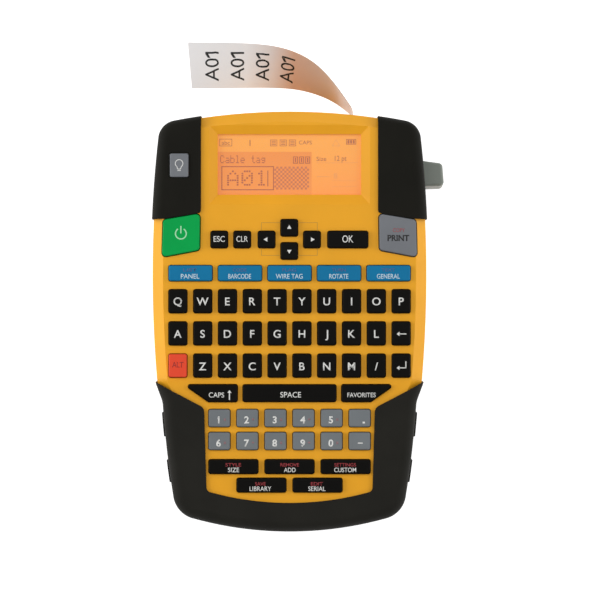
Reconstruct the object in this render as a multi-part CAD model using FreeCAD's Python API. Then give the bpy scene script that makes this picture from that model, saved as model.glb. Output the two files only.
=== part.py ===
"""Handheld industrial label maker: a wedge-shaped yellow housing with black rubber bumpers, a backlit
display, a full keyboard, a tape cassette with its print and feed mechanism, a hand-pressed tape cutter
and six AA cells.

Row frame, millimetres: +X right, +Y towards the tape exit, +Z up out of the keyboard. The maker lies on
its back. The origin is the middle of the flat back, on the plane that the maker rests on.

The keyboard face leans FACE_TILT back from level, so the end with the display is the thicker one. Parts
of the face are drawn in the face frame (u right, v towards the tape exit, w out of the keyboard, with
w = 0 on the yellow face) and put in place by on_face(). The cassette, batteries and mechanism are drawn
in the row frame.
"""
import FreeCAD
import Part
import math
import os

V = FreeCAD.Vector
PARTS = {}

# ---- driving dimensions --------------------------------------------------------------------------
FACE_TILT = 4.0          # degrees
FACE_HEIGHT = 42.0       # the face frame's origin above the back
HALF_TOP = 86.9          # v of the top edge at the middle, over the bumpers
HALF_BOTTOM = 86.6       # the same at the bottom
TOP_RADIUS = 250.0
BOTTOM_RADIUS = 155.0
BUMPER_PROUD = 0.8       # how far the rubber stands out of the yellow sides
BUMPER_FRONT = 1.0       # and out of the yellow face
RUBBER = 1.8             # how deep the rubber is let into the housing
INSET = 4.0              # from the outline to the inside of the housing
FRONT_WALL = 3.0
PARTING = -15.0          # w of the joint between the two housings
PARTING_GAP = 0.2
KEY_TRAVEL = 1.0
KEY_GAP = 0.3            # between a key and its opening
KEY_TOP = 1.6
RUNNING = 0.06           # radial clearance of a running fit
TAPE_WIDTH = 19.0
TAPE_THICK = 0.3
TAPE_X = 26.2            # x of the tape's mid-plane on its way out
TAPE_LOW = 5.5           # z of the tape's lower edge

# ---- small helpers -------------------------------------------------------------------------------
FACE = FreeCAD.Placement(V(0, 0, FACE_HEIGHT), FreeCAD.Rotation(V(1, 0, 0), FACE_TILT))


def on_face(shape):
    """A shape drawn in the face frame, moved to the row frame."""
    moved = shape.copy()
    moved.Placement = FACE.multiply(moved.Placement)
    return moved


def off_face(shape):
    """A shape drawn in the row frame, as the face frame sees it."""
    moved = shape.copy()
    moved.Placement = FACE.inverse().multiply(moved.Placement)
    return moved


def box(x0, x1, y0, y1, z0, z1):
    return Part.makeBox(x1 - x0, y1 - y0, z1 - z0, V(x0, y0, z0))


def rod(x, y, z0, z1, radius):
    return Part.makeCylinder(radius, z1 - z0, V(x, y, z0))


def cross_rod(x0, x1, y, z, radius):
    """A cylinder along X."""
    return Part.makeCylinder(radius, x1 - x0, V(x0, y, z), V(1, 0, 0))


def polygon(points):
    corners = [V(x, y, 0) for x, y in points]
    return Part.Face(Part.makePolygon(corners + corners[:1]))


def prism(points, z0, z1):
    face = polygon(points)
    face.translate(V(0, 0, z0))
    return face.extrude(V(0, 0, z1 - z0))


def upright_edges(solid, near=None, within=1.5):
    """The edges parallel to Z, or those of them that pass close to the points in near."""
    found = []
    for edge in solid.Edges:
        if len(edge.Vertexes) != 2 or not isinstance(edge.Curve, Part.Line):
            continue
        a, b = (vertex.Point for vertex in edge.Vertexes)
        if abs(a.x - b.x) + abs(a.y - b.y) > 1e-6:
            continue
        if near is None or any(math.hypot(a.x - x, a.y - y) < within for x, y in near):
            found.append(edge)
    return found


def edges_at(solid, z, slack=1e-4):
    """The edges that lie wholly at height z."""
    return [e for e in solid.Edges
            if abs(e.BoundBox.ZMin - z) < slack and abs(e.BoundBox.ZMax - z) < slack]


def rounded_bar(points, z0, z1, corner, top):
    """A prism with rounded upright corners and a softened upper rim."""
    solid = prism(points, z0, z1)
    solid = solid.makeFillet(corner, upright_edges(solid))
    return solid.makeFillet(top, edges_at(solid, z1))


def rectangle(cx, cy, width, height):
    a, b = width / 2, height / 2
    return [(cx - a, cy - b), (cx + a, cy - b), (cx + a, cy + b), (cx - a, cy + b)]


def fuse(shapes):
    whole = shapes[0]
    for shape in shapes[1:]:
        whole = whole.fuse(shape)
    return whole.removeSplitter()


def add(name, shape):
    PARTS[name] = shape


# ---- outline of the maker ------------------------------------------------------------------------
SIDE_TOP = (53.3, 81.2)
SIDE_MIDDLE = (57.1, 20.0)
SHOULDER_OUT = (55.2, -25.2)
SHOULDER_IN = (52.2, -33.2)
GRIP_MIDDLE = (50.5, -52.5)
FOOT = (46.6, -79.1)
CORNER_RADII = ((SIDE_TOP, 8.0, 1), (SHOULDER_OUT, 10.0, 1), (SHOULDER_IN, 9.0, -1), (FOOT, 11.0, 1))


def mirrored(point):
    return (-point[0], point[1])


def arc(a, b, c):
    return Part.Arc(*[V(x, y, 0) for x, y in (a, b, c)]).toShape()


def line(a, b):
    return Part.LineSegment(V(*a, 0), V(*b, 0)).toShape()


def outline(grow=0.0):
    """The outer outline over the bumpers as a face, with sharp corners, moved outwards by grow."""
    right = [
        arc(SIDE_TOP, SIDE_MIDDLE, SHOULDER_OUT),
        line(SHOULDER_OUT, SHOULDER_IN),
        arc(SHOULDER_IN, GRIP_MIDDLE, FOOT),
    ]
    bottom = arc(FOOT, (0, -HALF_BOTTOM), mirrored(FOOT))
    left = [
        arc(mirrored(FOOT), mirrored(GRIP_MIDDLE), mirrored(SHOULDER_IN)),
        line(mirrored(SHOULDER_IN), mirrored(SHOULDER_OUT)),
        arc(mirrored(SHOULDER_OUT), mirrored(SIDE_MIDDLE), mirrored(SIDE_TOP)),
    ]
    top = arc(mirrored(SIDE_TOP), (0, HALF_TOP), SIDE_TOP)
    face = Part.Face(Part.Wire(right + [bottom] + left + [top]))
    if abs(grow) > 1e-9:
        face = face.makeOffset2D(grow, join=2)
    return face


def nearest_upright(solid, place):
    """The upright edge that passes closest to a point."""
    def distance(edge):
        foot = edge.Vertexes[0]
        return math.hypot(foot.X - place[0], foot.Y - place[1])
    return min(upright_edges(solid), key=distance)


def outline_block(grow, w0, w1):
    """The outline moved outwards by grow and extruded along w, with its corners rounded."""
    face = outline(grow)
    face.translate(V(0, 0, w0))
    solid = face.extrude(V(0, 0, w1 - w0)).Solids[0]
    for corner, radius, turn in CORNER_RADII:
        edges = [nearest_upright(solid, place) for place in (corner, mirrored(corner))]
        solid = solid.makeFillet(radius + turn * grow, edges)
    return solid


BIG = 200.0
BEHIND_BACK = off_face(box(-BIG, BIG, -BIG, BIG, -BIG, 0))


def to_back(solid):
    """What is left of a solid of the face frame in front of the back plane."""
    return solid.cut(BEHIND_BACK)


def back_rim(solid):
    """The edges of a face-frame solid that lie in the back plane."""
    placed = on_face(solid)
    keep = []
    for index, edge in enumerate(placed.Edges):
        if abs(edge.BoundBox.ZMin) < 1e-3 and abs(edge.BoundBox.ZMax) < 1e-3:
            keep.append(solid.Edges[index])
    return keep


def bumper_blank():
    solid = to_back(outline_block(0.0, -60.0, BUMPER_FRONT))
    solid = solid.makeFillet(4.5, edges_at(solid, BUMPER_FRONT))
    return solid.makeFillet(2.5, back_rim(solid))


def housing_blank():
    solid = to_back(outline_block(-BUMPER_PROUD, -60.0, 0.0))
    solid = solid.makeChamfer(4.4, edges_at(solid, 0.0))
    return solid.makeChamfer(2.4, back_rim(solid))


# ---- the three rubber bumpers --------------------------------------------------------------------
BUMPER_INNER = 36.3      # u of the upper bumpers' inner edge
BUMPER_LOW = 41.6        # v of their lower edge at the side
PANEL = ((70.0, -17.3), (35.0, -35.6), (34.0, -69.8))   # the keyboard panel's edge, right half
PANEL_BOTTOM = (0.0, -74.6)
PANEL_TOP = 120.0        # well past the top edge


def upper_region(side, grow=0.0):
    """Where an upper bumper covers the face, as a tall prism. side is -1 for the left one."""
    points = [
        (BUMPER_INNER - grow, 100.0),
        (BUMPER_INNER - grow, 44.4 - grow),
        (51.4, BUMPER_LOW + 0.3 - grow),
        (70.0, BUMPER_LOW - grow),
        (70.0, 100.0),
    ]
    solid = prism([(side * x, y) for x, y in points], -60.0, 10.0)
    return solid.makeFillet(1.2, upright_edges(solid, [(side * points[1][0], points[1][1])]))


def panel_block(grow=0.0):
    """Everything above the lower bumper's inner edge, as a tall prism."""
    right = [(x, y) for x, y in PANEL]
    left = [mirrored(p) for p in reversed(PANEL)]
    edges = [line(right[0], right[1]), line(right[1], right[2])]
    edges += [arc(right[2], PANEL_BOTTOM, left[0]), line(left[0], left[1]), line(left[1], left[2])]
    corners = [left[2], (left[2][0], PANEL_TOP), (right[0][0], PANEL_TOP), right[0]]
    edges += [line(a, b) for a, b in zip(corners, corners[1:])]
    face = Part.Face(Part.Wire(edges))
    if abs(grow) > 1e-9:
        face = face.makeOffset2D(grow, join=2)
    face.translate(V(0, 0, -60.0))
    solid = face.extrude(V(0, 0, 70.0))
    solid = solid.makeFillet(3.0, upright_edges(solid, [PANEL[1], mirrored(PANEL[1])], 4.0))
    return solid.makeFillet(2.2, upright_edges(solid, [PANEL[2], mirrored(PANEL[2])], 4.0))


def rubber_core(inset):
    """What the rubber is wrapped round: the outline drawn in by inset, from just under the face."""
    return outline_block(-inset, -60.0, -RUBBER)


PAD_BANDS = ((-47.6, -37.8), (-66.4, -57.4))
PAD_PROUD = 0.7
BACK_STRIP_Y = -77.0     # the lower bumper wraps under the back below this y


def lower_bumper(blank, core):
    below = blank.cut(panel_block())
    pads = []
    pad_blank = outline_block(PAD_PROUD, -34.0, -6.5)
    for low, high in PAD_BANDS:
        band = pad_blank.common(box(-BIG, BIG, low, high, -BIG, BIG))
        pads.append(band)
    solid = fuse([below.cut(core)] + [to_back(p).cut(core) for p in pads])
    strip = below.common(off_face(box(-BIG, BIG, -BIG, BACK_STRIP_Y, -1.0, RUBBER)))
    return fuse([solid, strip])


def upper_bumper(side, blank, core):
    corner = blank.common(upper_region(side))
    solid = corner.cut(core)
    rim = corner.common(off_face(box(-BIG, BIG, -BIG, BIG, -1.0, RUBBER)))
    rim = rim.cut(outline_block(-BUMPER_PROUD - 3.4, -60.0, 20.0))
    return fuse([solid, rim])


# ---- keys ----------------------------------------------------------------------------------------
KEY_CORNER = 0.8
KEY_RIM = 0.5
FLANGE = 0.55            # how far a key's flange reaches under the housing
FLANGE_TOP = -3.3
FLANGE_BOTTOM = -4.1
PLUNGER_BOTTOM = -4.7

LETTER = (7.4, 9.5)
LETTER_PITCH = 10.17
LETTER_ROWS = (8.1, -5.1, -18.3)
NUMBER = (8.7, 7.1)
NUMBER_PITCH = 11.5
NUMBER_ROWS = (-39.8, -49.2)
FUNCTION = (17.8, 6.3)
FUNCTION_PITCH = 20.3
FUNCTION_ROW = 19.6
SMALL = (6.85, 6.8)
NAV_ROW = 33.4
EDIT = (20.1, 5.7)


def columns(count, pitch):
    return [(i - (count - 1) / 2) * pitch for i in range(count)]


LETTER_X = columns(10, LETTER_PITCH)
NUMBER_X = columns(6, NUMBER_PITCH)
FUNCTION_X = columns(5, FUNCTION_PITCH)
SPACE_ROW = -29.6
CORNER_ROUND = 1.5
CORNER_GAP = 0.42        # round the corner keys, whose upper edges lie along the bumpers
CORNER_KEY = [(-51.8, 41.45), (-52.2, 26.2), (-36.9, 29.1), (-36.7, 44.0)]
CAPS_KEY = [(-43.2, -26.1), (-33.3, -33.1), (-21.4, -33.1), (-21.4, -26.1)]


def flipped(points):
    return [(-x, y) for x, y in reversed(points)]


def grown(points, grow):
    """A convex polygon with its sides moved outwards."""
    return polygon(points).makeOffset2D(grow, join=2)


def key_list():
    """Every key as (node, outline, height of its top, corner radius)."""
    rows = {
        "letter_keys_upper": [(x, LETTER_ROWS[0]) for x in LETTER_X],
        "letter_keys_middle": [(x, LETTER_ROWS[1]) for x in LETTER_X],
        "letter_keys_lower": [(x, LETTER_ROWS[2]) for x in LETTER_X[1:]],
    }
    keys = []
    for node, row in rows.items():
        keys += [(node, rectangle(x, y, *LETTER), KEY_TOP, KEY_CORNER) for x, y in row]
    keys.append(("alt_key", rectangle(LETTER_X[0], LETTER_ROWS[2], *LETTER), KEY_TOP, KEY_CORNER))
    for y in NUMBER_ROWS:
        keys += [("number_keys", rectangle(x, y, *NUMBER), KEY_TOP, KEY_CORNER) for x in NUMBER_X]
    keys += [(f"function_key_{i + 1}", rectangle(x, FUNCTION_ROW, *FUNCTION), KEY_TOP, KEY_CORNER)
             for i, x in enumerate(FUNCTION_X)]
    small = {
        "escape_key": (-28.8, NAV_ROW), "clear_key": (-19.4, NAV_ROW),
        "left_key": (-9.4, NAV_ROW), "right_key": (9.2, NAV_ROW),
        "up_key": (-0.1, 38.2), "down_key": (-0.1, 28.7),
    }
    keys += [(name, rectangle(*place, *SMALL), KEY_TOP, KEY_CORNER) for name, place in small.items()]
    keys.append(("ok_key", rectangle(23.9, NAV_ROW, 16.4, SMALL[1]), KEY_TOP, KEY_CORNER))
    keys.append(("caps_key", CAPS_KEY, KEY_TOP, KEY_CORNER))
    keys.append(("favourites_key", flipped(CAPS_KEY), KEY_TOP, KEY_CORNER))
    keys.append(("space_key", rectangle(0.0, SPACE_ROW, 38.1, 6.9), KEY_TOP, KEY_CORNER))
    for name, x in (("size_key", -23.0), ("add_key", 0.0), ("custom_key", 23.0)):
        keys.append((name, rectangle(x, -59.7, *EDIT), KEY_TOP, KEY_CORNER))
    for name, x in (("library_key", -11.5), ("serial_key", 11.5)):
        keys.append((name, rectangle(x, -67.3, *EDIT), KEY_TOP, KEY_CORNER))
    keys.append(("power_key", CORNER_KEY, KEY_TOP - 0.2, CORNER_ROUND))
    keys.append(("print_key", flipped(CORNER_KEY), KEY_TOP - 0.2, CORNER_ROUND))
    keys.append(("backlight_key", rectangle(-45.2, 63.8, 7.6, 9.7), BUMPER_FRONT + 1.0, KEY_CORNER))
    return keys


def key_solid(points, top, corner):
    body = rounded_bar(points, FLANGE_BOTTOM, top, corner, KEY_RIM)
    flange = grown(points, FLANGE)
    flange.translate(V(0, 0, FLANGE_BOTTOM))
    flange = flange.extrude(V(0, 0, FLANGE_TOP - FLANGE_BOTTOM))
    middle = polygon(points).CenterOfMass
    plunger = rod(middle.x, middle.y, PLUNGER_BOTTOM, FLANGE_BOTTOM, 1.6)
    return fuse([body, flange, plunger])


def key_hole(points, corner):
    """The opening round a key, with room for its flange below the face."""
    gap = CORNER_GAP if corner == CORNER_ROUND else KEY_GAP
    face = grown(points, gap)
    face.translate(V(0, 0, -8.0))
    solid = face.extrude(V(0, 0, 16.0))
    solid = solid.makeFillet(corner + gap, upright_edges(solid))
    room = grown(points, FLANGE + gap)
    room.translate(V(0, 0, -8.0))
    room = room.extrude(V(0, 0, 8.0 - FRONT_WALL))
    return fuse([solid, room])


KEYS = key_list()


def add_keys():
    """One node for each key, or for each row of letters and the block of numbers."""
    nodes = {}
    for name, points, top, corner in KEYS:
        nodes.setdefault(name, []).append(on_face(key_solid(points, top, corner)))
    for name, solids in nodes.items():
        add(name, solids[0] if len(solids) == 1 else Part.makeCompound(solids))


# ---- housings ------------------------------------------------------------------------------------
SCREWS = ((-38.0, 77.0), (38.0, 77.0), (-34.0, -72.6), (34.0, -72.6))
BOSS = 3.0
SHANK = 1.2
HEAD = 2.6
HEAD_DEPTH = 2.4
BACK_WALL = 2.4
BAY = (-44.0, 44.0, -64.5, -9.5)     # inside of the battery bay
BAY_TOP = 18.6
BAY_WALL = 1.4
HINGE_Z = 2.3
BARREL = 1.9
PIN = 1.2
DOOR_GAP = 0.35
CASSETTE_DOOR = (46.6, 3.6, 74.4, 2.4)      # half width, y of its hinge and its free edge, length of a pin
BATTERY_DOOR = (43.4, -66.2, -5.6, 1.7)
PIN_END_GAP = 0.3
NOTCH_RADIUS = 9.0
NOTCH_OUT = 3.0
NOTCH_DEPTH = 1.4
SLOT = (25.6, 26.8, 4.9, 25.1)       # the tape's slot: x and z
LEVER_WINDOW = (55.2, 69.9, 12.4, 27.6)   # y and z of the lever's opening in the side
PIVOT = (49.0, 38.0)     # the cutter lever's pivot
POST = 1.8


def door_opening(half, hinge, end, pin):
    """The hole for a door, with room for its hinge barrel and its pins."""
    way = 1 if end > hinge else -1
    low, high = sorted((hinge - way * (BARREL + DOOR_GAP), end + way * DOOR_GAP))
    hole = box(-half - DOOR_GAP, half + DOOR_GAP, low, high, -1.0, BACK_WALL + 0.1)
    barrel = cross_rod(-half - DOOR_GAP, half + DOOR_GAP, hinge, HINGE_Z, BARREL + DOOR_GAP)
    reach = half + pin + PIN_END_GAP
    return fuse([hole, barrel, cross_rod(-reach, reach, hinge, HINGE_Z, PIN + RUNNING)])


def hinge_blocks(half, hinge, _end, pin):
    """Two blocks on the side walls that carry a door's pins."""
    blocks = []
    for side in (-1, 1):
        x0, x1 = sorted((side * (half + DOOR_GAP), side * (half + pin + 3.0)))
        blocks.append(box(x0, x1, hinge - 3.0, hinge + 3.0, 1.0, 5.4))
    return blocks


def door(half, hinge, end, pin):
    """A door with a rounded hinge barrel, two stub pins, grooves and a finger notch at its free edge."""
    way = 1 if end > hinge else -1
    low, high = sorted((hinge, end))
    slab = box(-half, half, low, high, 0.3, HINGE_Z)
    barrel = cross_rod(-half, half, hinge, HINGE_Z, BARREL)
    pins = cross_rod(-half - pin, half + pin, hinge, HINGE_Z, PIN)
    solid = fuse([slab, barrel, pins])
    return solid.cut(rod(0, end + way * NOTCH_OUT, -1.0, NOTCH_DEPTH, NOTCH_RADIUS))


def front_bosses():
    return [rod(x, y, 0.0, 60.0, BOSS) for x, y in SCREWS]


def screw_holes():
    holes = [rod(x, y, -1.0, HEAD_DEPTH + 0.1, HEAD + 0.2) for x, y in SCREWS]
    holes += [rod(x, y, -1.0, 60.0, SHANK + 0.02) for x, y in SCREWS]
    return holes


LCD = (-29.5, 29.4, 51.8, 76.7)
LCD_BEVEL = (-33.0, 33.0, 47.8, 80.4)
BEVEL_DEPTH = 1.7


def display_opening():
    """The bevelled frame round the display, as a cutting solid."""
    x0, x1, y0, y1 = LCD
    a0, a1, b0, b1 = LCD_BEVEL
    inner = Part.makePolygon([V(x, y, -BEVEL_DEPTH) for x, y in
                              ((x0, y0), (x1, y0), (x1, y1), (x0, y1), (x0, y0))])
    outer = Part.makePolygon([V(x, y, 0) for x, y in
                              ((a0, b0), (a1, b0), (a1, b1), (a0, b1), (a0, b0))])
    bevel = Part.makeLoft([inner, outer], True, True)
    through = box(x0, x1, y0, y1, -5.0, -BEVEL_DEPTH)
    above = box(a0, a1, b0, b1, 0.0, 1.0)
    return fuse([bevel, through, above])


def cavity():
    """The inside of both housings, face frame, down to the back wall."""
    solid = outline_block(-INSET, -60.0, -FRONT_WALL)
    solid = solid.makeChamfer(2.4, edges_at(solid, -FRONT_WALL))
    return solid.cut(off_face(box(-BIG, BIG, -BIG, BIG, -BIG, BACK_WALL)))


def slab_w(w0, w1):
    return box(-BIG, BIG, -BIG, BIG, w0, w1)


def front_housing(blank, bumpers, room):
    upper = blank.common(slab_w(PARTING + PARTING_GAP / 2, 10.0))
    solid = upper.cut(room)
    keep = room.common(slab_w(PARTING + PARTING_GAP / 2, 10.0))
    bosses = [keep.common(off_face(b)) for b in front_bosses()]
    solid = fuse([solid] + bosses)
    cutters = [off_face(rod(x, y, -1.0, 38.0 + 0.07 * y, SHANK + 0.02)) for x, y in SCREWS]
    cutters += [key_hole(points, corner) for _, points, _, corner in KEYS]
    cutters.append(display_opening())
    return solid.cut(cutters).cut(bumpers)


def back_housing(blank, bumpers, room):
    lower = blank.common(slab_w(-90.0, PARTING - PARTING_GAP / 2))
    solid = lower.cut(room)
    keep = room.common(slab_w(-90.0, PARTING - PARTING_GAP / 2))
    x0, x1, y0, y1 = BAY
    tray = box(x0 - BAY_WALL, x1 + BAY_WALL, y0 - BAY_WALL, y1 + BAY_WALL, BACK_WALL, BAY_TOP + BAY_WALL)
    tray = tray.cut(box(x0, x1, y0, y1, 0.0, BAY_TOP))
    extras = [tray] + front_bosses() + hinge_blocks(*CASSETTE_DOOR) + hinge_blocks(*BATTERY_DOOR)
    extras.append(rod(*PIVOT, BACK_WALL, 27.4, POST))
    solid = fuse([solid] + [keep.common(off_face(e)) for e in extras])
    cutters = [door_opening(*CASSETTE_DOOR), door_opening(*BATTERY_DOOR)] + screw_holes()
    sx0, sx1, sz0, sz1 = SLOT
    cutters.append(box(sx0, sx1, 76.0, 95.0, sz0, sz1))
    cutters.append(lever_window())
    return solid.cut([off_face(c) for c in cutters]).cut(bumpers)


def lever_window():
    y0, y1, z0, z1 = LEVER_WINDOW
    return box(45.0, 75.0, y0, y1, z0, z1)


# ---- cassette ------------------------------------------------------------------------------------
CASSETTE = (-45.0, 22.0, 5.6, 56.0)
CASSETTE_Z = (3.2, 27.2)
CASSETTE_WALL = 1.2
ROLL = (-21.5, 30.6)
ROLL_RADIUS = 20.5
SUPPLY = (11.6, 19.5)
SUPPLY_RADIUS = 7.0
TAKEUP = (10.9, 43.0)
TAKEUP_RADIUS = 6.0
TAPE_HIGH = TAPE_LOW + TAPE_WIDTH
HUB = 2.0


def cassette_shell():
    """A closed shell with posts for its spools, ribs along its sides and a mouth where the tape leaves."""
    x0, x1, y0, y1 = CASSETTE
    z0, z1 = CASSETTE_Z
    w = CASSETTE_WALL
    outer = box(x0, x1, y0, y1, z0, z1)
    outer = outer.makeFillet(4.0, upright_edges(outer))
    inner = box(x0 + w, x1 - w, y0 + w, y1 - w, z0 + w, z1 - w)
    inner = inner.makeFillet(2.8, upright_edges(inner))
    shell = outer.cut(inner)
    posts = [rod(*place, z0, z1 - w, HUB) for place in (ROLL, SUPPLY)]
    shell = fuse([shell] + posts)
    hole = rod(*TAKEUP, z0 - 1.0, z1 + 1.0, HUB + 0.5)
    mouth = box(x1 - 6.0, x1 + 1.0, y1 - 8.0, y1 + 1.0, TAPE_LOW - 0.5, TAPE_HIGH + 0.5)
    grip = box(x0 - 1.0, x0 + 0.5, y0 + 18.0, y1 - 18.0, z0 + 5.0, z1 - 5.0)
    return shell.cut([hole, mouth, grip])


def spool(place, radius, bore, z0=TAPE_LOW, z1=TAPE_HIGH):
    """A wound roll on a hub with two low flanges."""
    solid = rod(*place, z0, z1, radius)
    hub = rod(*place, z0 - 0.4, z1 + 0.4, bore + 2.0)
    return fuse([solid, hub]).cut(rod(*place, z0 - 1.0, z1 + 1.0, bore))


def tape_lead():
    """The tape between the cassette's mouth and the cutter."""
    half = TAPE_THICK / 2
    lead = [
        (20.6, 49.4), (TAPE_X + half, 58.0), (TAPE_X + half, 67.9),
        (TAPE_X - half, 67.9), (TAPE_X - half, 58.1), (20.4, 49.6),
    ]
    return prism(lead, TAPE_LOW, TAPE_HIGH)


# ---- print and feed mechanism --------------------------------------------------------------------
MODULE = 0.8
GEAR_Z = (30.0, 32.6)
MOTOR = (44.5, 27.0)
IDLER = (34.84, 41.72)
PLATEN = (30.9, 60.5)
PLATEN_RADIUS = 4.4
TEETH = {"motor_pinion": 14, "idler_gear": 30, "platen_gear": 18, "takeup_gear": 30}
TOOTH_SHARE = 0.40       # tooth width over pitch, on the pitch circle
PLATE_Z = (28.0, 29.3)
CHASSIS = [(-45.5, 4.6), (51.5, 4.6), (51.5, 52.0), (46.5, 56.0), (46.5, 72.4), (-45.5, 72.4)]
PINION_PHASE = 0.0       # a tooth of the pinion points along +X at rest


def gear(place, teeth, bore, phase):
    """A spur gear with straight-sided teeth. phase turns it so that it meshes at rest."""
    pitch = MODULE * teeth / 2
    root, tip = pitch - 1.0 * MODULE, pitch + 0.8 * MODULE
    step = 2 * math.pi / teeth
    outline_points = []
    for tooth in range(teeth):
        middle = phase + tooth * step
        for radius, share in ((root, 0.62), (tip, 0.20)):
            outline_points.append((radius, middle - share * step / 2))
        for radius, share in ((tip, 0.20), (root, 0.62)):
            outline_points.append((radius, middle + share * step / 2))
    points = [(place[0] + r * math.cos(a), place[1] + r * math.sin(a)) for r, a in outline_points]
    solid = prism(points, *GEAR_Z)
    return solid.cut(rod(*place, GEAR_Z[0] - 1.0, GEAR_Z[1] + 1.0, bore))


def direction(a, b):
    return math.atan2(b[1] - a[1], b[0] - a[0])


def mesh_phase(place, teeth, driver, driver_teeth, driver_phase):
    """The phase that puts a gap of this gear where the driver has a tooth on the line of centres."""
    out = direction(driver, place)
    step = 2 * math.pi / driver_teeth
    offset = (out - driver_phase) % step
    own = 2 * math.pi / teeth
    back = out + math.pi
    return back + offset * driver_teeth / teeth + own / 2


def chassis_plate():
    """The plate that carries the gear posts, the motor, the platen's lower arm and the blade's guides."""
    plate = prism(CHASSIS, *PLATE_Z)
    posts = [rod(*IDLER, PLATE_Z[1], GEAR_Z[1] + 0.8, 1.5)]
    arm_x = PLATEN[0] + 6.6
    wall = box(arm_x, arm_x + 1.6, PLATEN[1] - 5.2, PLATEN[1] + 5.0, 3.2, PLATE_Z[0])
    foot = box(PLATEN[0] - 3.2, arm_x + 1.6, PLATEN[1] - 3.2, PLATEN[1] + 3.2, 3.2, 4.6)
    rails = [box(33.4, 46.4, y, y + 0.9, 25.4, PLATE_Z[0]) for y in (65.3, 71.5)]
    anvil = box(22.4, 25.6, 66.6, 71.2, 4.4, PLATE_Z[0])
    anvil = anvil.cut(box(24.2, 26.0, 67.8, 69.2, 3.0, 26.6))
    solid = fuse([plate, wall, foot, anvil] + posts + rails)
    cutters = [rod(*PLATEN, 0.0, 40.0, 1.5 + RUNNING), rod(*TAKEUP, 20.0, 40.0, 2.0 + RUNNING)]
    cutters.append(rod(*MOTOR, 20.0, 40.0, 2.4))
    return solid.cut(cutters)


def motor():
    body = rod(*MOTOR, 6.0, 27.0, 7.4)
    collar = rod(*MOTOR, 27.0, PLATE_Z[0], 6.0)
    cap = rod(*MOTOR, 4.6, 6.0, 3.0)
    return fuse([body, collar, cap]).cut(rod(*MOTOR, 20.0, 40.0, 1.0 + RUNNING))


def motor_pinion():
    teeth = TEETH["motor_pinion"]
    wheel = gear(MOTOR, teeth, 0.9, PINION_PHASE)
    return wheel.fuse(rod(*MOTOR, 20.6, GEAR_Z[1], 1.0))


def platen_roller():
    """A rubber roller on a steel shaft."""
    roller = rod(*PLATEN, TAPE_LOW - 0.3, TAPE_HIGH + 0.5, PLATEN_RADIUS)
    return fuse([roller, rod(*PLATEN, 3.4, GEAR_Z[0], 1.5)])


def takeup_gear(phase):
    wheel = gear(TAKEUP, TEETH["takeup_gear"], 1.0, phase)
    return wheel.fuse(rod(*TAKEUP, TAPE_LOW + 4.0, GEAR_Z[1], 2.0))


def print_head():
    """A thermal head on a plate, with its heated edge beside the tape."""
    plate = box(22.6, 24.0, 56.8, 65.4, 4.0, PLATE_Z[0])
    head = box(24.0, 25.5, 57.6, 63.4, TAPE_LOW - 0.3, TAPE_HIGH + 0.3)
    edge = box(25.4, 25.75, 59.7, 61.3, TAPE_LOW, TAPE_HIGH)
    return fuse([plate, head, edge])


def add_mechanism():
    idler_phase = mesh_phase(IDLER, TEETH["idler_gear"], MOTOR, TEETH["motor_pinion"], PINION_PHASE)
    platen_phase = mesh_phase(PLATEN, TEETH["platen_gear"], IDLER, TEETH["idler_gear"], idler_phase)
    takeup_phase = mesh_phase(TAKEUP, TEETH["takeup_gear"], IDLER, TEETH["idler_gear"], idler_phase)
    add("chassis_plate", chassis_plate())
    add("motor", motor())
    add("motor_pinion", motor_pinion())
    add("idler_gear", gear(IDLER, TEETH["idler_gear"], 1.5 + RUNNING, idler_phase))
    add("platen_roller", platen_roller())
    wheel = gear(PLATEN, TEETH["platen_gear"], 1.0, platen_phase)
    add("platen_gear", wheel)
    add("takeup_gear", takeup_gear(takeup_phase))
    add("print_head", print_head())


# ---- cutter --------------------------------------------------------------------------------------
PAD = [(54.4, 57.0), (64.2, 57.3), (63.5, 66.7), (54.6, 67.9)]
ARM = [
    (47.0, 39.5), (51.2, 38.5), (51.3, 54.0), (50.6, 66.0), (48.2, 70.0), (47.2, 69.4), (47.4, 54.0),
]
LEVER_Z = (13.0, 27.0)
BLADE_Y = 68.5
BLADE_EDGE = 31.0


def cutter_lever():
    """A hub on its post, an arm up to the thumb pad, and a nose that pushes the blade carrier."""
    hub = rod(*PIVOT, LEVER_Z[0], LEVER_Z[1], 3.2)
    arm = prism(ARM, LEVER_Z[0] + 2.0, LEVER_Z[1] - 2.0)
    neck = box(50.4, 56.0, 58.2, 66.4, LEVER_Z[0] + 2.0, LEVER_Z[1] - 2.0)
    pad = prism(PAD, *LEVER_Z)
    pad = pad.makeFillet(1.8, upright_edges(pad, [PAD[1], PAD[2]]))
    pad = pad.makeFillet(1.2, edges_at(pad, LEVER_Z[1]) + edges_at(pad, LEVER_Z[0]))
    return fuse([hub, arm, neck, pad]).cut(rod(*PIVOT, 0.0, 40.0, POST + RUNNING))


def blade_carrier():
    """The slide that holds the blade, with a saddle that runs under the chassis rails."""
    body = box(33.0, 46.8, 66.5, 71.2, TAPE_LOW - 0.5, 27.7)
    return body.cut(box(32.0, 38.0, BLADE_Y - 0.25, BLADE_Y + 0.25, 4.0, TAPE_HIGH + 0.6))


def cutter_blade():
    """A straight blade with a bevelled edge."""
    profile = [
        (BLADE_EDGE, BLADE_Y - 0.04), (BLADE_EDGE + 1.4, BLADE_Y - 0.25), (38.0, BLADE_Y - 0.25),
        (38.0, BLADE_Y + 0.25), (BLADE_EDGE, BLADE_Y + 0.04),
    ]
    return prism(profile, TAPE_LOW - 0.5, TAPE_HIGH + 0.5)


SPRING_COILS = 5
SPRING_WIRE = 0.35
SPRING_RADIUS = 2.6
SPRING_PITCH = 1.1


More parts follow.
